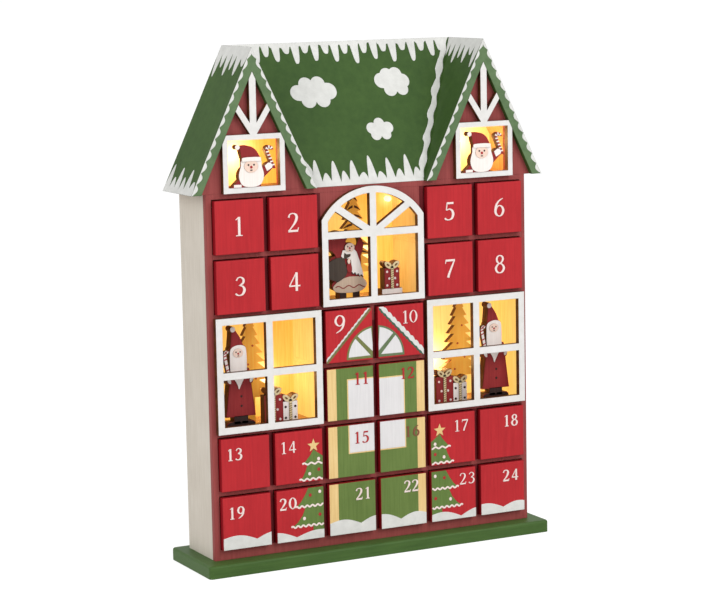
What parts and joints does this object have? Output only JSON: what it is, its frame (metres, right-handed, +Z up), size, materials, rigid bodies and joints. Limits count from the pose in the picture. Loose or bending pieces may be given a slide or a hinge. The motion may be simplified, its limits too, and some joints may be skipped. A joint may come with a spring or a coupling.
{
  "type": "wooden advent calendar",
  "caption": "House-shaped wooden advent calendar with sliding numbered drawers, lit windows with cut-out figures and a snowy pitched roof on a base board.",
  "frame": {"origin": "middle of the underside of the base", "axes": "+Z up, the drawers and windows face -Y, +X to the right seen from the front"},
  "size_m": [0.329, 0.082, 0.4332],
  "materials": {
    "red_drawer": "satin red paint",
    "red_lattice": "matt red stain",
    "green_paint": "satin green paint",
    "cream_wall": "matt cream paint",
    "white_paint": "matt white paint",
    "bare_wood": "bare plywood",
    "painted_cutout": "painted plywood cut-out",
    "golden_wood": "stained plywood",
    "warm_lamp": "warm lamp lens",
    "black_plastic": "moulded plastic",
    "cell_jacket": "plain cell jacket",
    "steel": "plated steel"
  },
  "bodies": {
    "house": {"base_plinth": "green_paint", "left_side_panel": "cream_wall", "right_side_panel": "cream_wall", "back_panel": "cream_wall", "front_rails": "red_lattice", "front_stiles": "red_lattice", "gable_fronts": "red_lattice", "shelves": "bare_wood", "dividers": "bare_wood", "left_outer_roof": "green_paint", "left_inner_roof": "green_paint", "right_inner_roof": "green_paint", "right_outer_roof": "green_paint", "middle_roof": "green_paint", "left_bargeboard": "green_paint", "right_bargeboard": "green_paint", "left_window": "white_paint", "right_window": "white_paint", "arched_window": "white_paint", "left_gable_window": "white_paint", "right_gable_window": "white_paint", "left_figure": "painted_cutout", "right_figure": "painted_cutout", "arched_figure": "painted_cutout", "gable_figures": "painted_cutout", "window_trees": "golden_wood", "left_gifts": "painted_cutout", "right_gifts": "painted_cutout", "arched_gifts": "painted_cutout", "lamps": "warm_lamp", "battery_box": "black_plastic", "battery_cells": "cell_jacket", "battery_contacts": "steel", "box_screws": "steel"},
    "drawer_01": {"drawer_01": "red_drawer"},
    "drawer_02": {"drawer_02": "red_drawer"},
    "drawer_03": {"drawer_03": "red_drawer"},
    "drawer_04": {"drawer_04": "red_drawer"},
    "drawer_05": {"drawer_05": "red_drawer"},
    "drawer_06": {"drawer_06": "red_drawer"},
    "drawer_07": {"drawer_07": "red_drawer"},
    "drawer_08": {"drawer_08": "red_drawer"},
    "drawer_09": {"drawer_09": "red_drawer"},
    "drawer_10": {"drawer_10": "red_drawer"},
    "drawer_11": {"drawer_11": "red_drawer"},
    "drawer_12": {"drawer_12": "red_drawer"},
    "drawer_13": {"drawer_13": "red_drawer"},
    "drawer_14": {"drawer_14": "red_drawer"},
    "drawer_15": {"drawer_15": "red_drawer"},
    "drawer_16": {"drawer_16": "red_drawer"},
    "drawer_17": {"drawer_17": "red_drawer"},
    "drawer_18": {"drawer_18": "red_drawer"},
    "drawer_19": {"drawer_19": "red_drawer"},
    "drawer_20": {"drawer_20": "red_drawer"},
    "drawer_21": {"drawer_21": "red_drawer"},
    "drawer_22": {"drawer_22": "red_drawer"},
    "drawer_23": {"drawer_23": "red_drawer"},
    "drawer_24": {"drawer_24": "red_drawer"},
    "battery_cover": {"battery_cover": "black_plastic"},
    "switch_knob": {"switch_knob": "black_plastic"}
  },
  "joints": [
    {"name": "drawer_01_slide", "type": "slide", "parent": "house", "child": "drawer_01", "axis": [0, -1, 0], "range_m": [0, 0.04]},
    {"name": "drawer_02_slide", "type": "slide", "parent": "house", "child": "drawer_02", "axis": [0, -1, 0], "range_m": [0, 0.04]},
    {"name": "drawer_03_slide", "type": "slide", "parent": "house", "child": "drawer_03", "axis": [0, -1, 0], "range_m": [0, 0.04]},
    {"name": "drawer_04_slide", "type": "slide", "parent": "house", "child": "drawer_04", "axis": [0, -1, 0], "range_m": [0, 0.04]},
    {"name": "drawer_05_slide", "type": "slide", "parent": "house", "child": "drawer_05", "axis": [0, -1, 0], "range_m": [0, 0.04]},
    {"name": "drawer_06_slide", "type": "slide", "parent": "house", "child": "drawer_06", "axis": [0, -1, 0], "range_m": [0, 0.04]},
    {"name": "drawer_07_slide", "type": "slide", "parent": "house", "child": "drawer_07", "axis": [0, -1, 0], "range_m": [0, 0.04]},
    {"name": "drawer_08_slide", "type": "slide", "parent": "house", "child": "drawer_08", "axis": [0, -1, 0], "range_m": [0, 0.04]},
    {"name": "drawer_09_slide", "type": "slide", "parent": "house", "child": "drawer_09", "axis": [0, -1, 0], "range_m": [0, 0.04]},
    {"name": "drawer_10_slide", "type": "slide", "parent": "house", "child": "drawer_10", "axis": [0, -1, 0], "range_m": [0, 0.04]},
    {"name": "drawer_11_slide", "type": "slide", "parent": "house", "child": "drawer_11", "axis": [0, -1, 0], "range_m": [0, 0.04]},
    {"name": "drawer_12_slide", "type": "slide", "parent": "house", "child": "drawer_12", "axis": [0, -1, 0], "range_m": [0, 0.04]},
    {"name": "drawer_13_slide", "type": "slide", "parent": "house", "child": "drawer_13", "axis": [0, -1, 0], "range_m": [0, 0.04]},
    {"name": "drawer_14_slide", "type": "slide", "parent": "house", "child": "drawer_14", "axis": [0, -1, 0], "range_m": [0, 0.04]},
    {"name": "drawer_15_slide", "type": "slide", "parent": "house", "child": "drawer_15", "axis": [0, -1, 0], "range_m": [0, 0.04]},
    {"name": "drawer_16_slide", "type": "slide", "parent": "house", "child": "drawer_16", "axis": [0, -1, 0], "range_m": [0, 0.04]},
    {"name": "drawer_17_slide", "type": "slide", "parent": "house", "child": "drawer_17", "axis": [0, -1, 0], "range_m": [0, 0.04]},
    {"name": "drawer_18_slide", "type": "slide", "parent": "house", "child": "drawer_18", "axis": [0, -1, 0], "range_m": [0, 0.04]},
    {"name": "drawer_19_slide", "type": "slide", "parent": "house", "child": "drawer_19", "axis": [0, -1, 0], "range_m": [0, 0.04]},
    {"name": "drawer_20_slide", "type": "slide", "parent": "house", "child": "drawer_20", "axis": [0, -1, 0], "range_m": [0, 0.04]},
    {"name": "drawer_21_slide", "type": "slide", "parent": "house", "child": "drawer_21", "axis": [0, -1, 0], "range_m": [0, 0.04]},
    {"name": "drawer_22_slide", "type": "slide", "parent": "house", "child": "drawer_22", "axis": [0, -1, 0], "range_m": [0, 0.04]},
    {"name": "drawer_23_slide", "type": "slide", "parent": "house", "child": "drawer_23", "axis": [0, -1, 0], "range_m": [0, 0.04]},
    {"name": "drawer_24_slide", "type": "slide", "parent": "house", "child": "drawer_24", "axis": [0, -1, 0], "range_m": [0, 0.04]},
    {"name": "battery_cover_slide", "type": "slide", "parent": "house", "child": "battery_cover", "axis": [-1, 0, 0], "range_m": [0, 0.048]},
    {"name": "switch_slide", "type": "slide", "parent": "house", "child": "switch_knob", "axis": [0, 0, 1], "range_m": [0, 0.003]}
  ]
}
